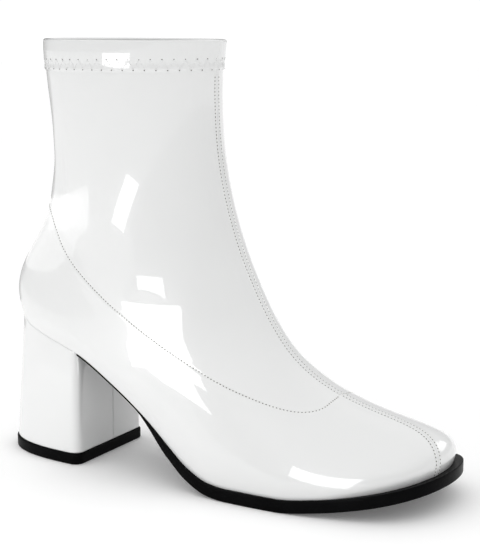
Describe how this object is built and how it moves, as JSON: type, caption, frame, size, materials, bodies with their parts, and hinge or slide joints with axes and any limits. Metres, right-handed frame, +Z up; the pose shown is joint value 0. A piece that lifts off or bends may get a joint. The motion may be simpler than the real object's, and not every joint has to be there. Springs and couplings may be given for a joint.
{
  "type": "go go boot",
  "caption": "Ankle boot with a glossy stretch upper, a folded collar hem, a high flared block heel and a thin sole that widens into a rounded square toe.",
  "frame": {"origin": "on the floor, at the middle of the heel top piece's underside", "axes": "+X from heel to toe, +Y to the wearer's left, which is the inner side of this right boot, +Z up"},
  "size_m": [0.2428, 0.0867, 0.211],
  "materials": {
    "upper_patent": "white stretch patent, high gloss",
    "outsole_rubber": "black, satin",
    "insole_lining": "white lining sock, matt",
    "heel_cover": "white patent cover on a plastic block, high gloss",
    "top_piece_rubber": "black, matt"
  },
  "bodies": {
    "root": {"upper": "upper_patent", "outsole": "outsole_rubber", "insole": "insole_lining", "heel": "heel_cover", "heel_top_piece": "top_piece_rubber"}
  },
  "joints": []
}
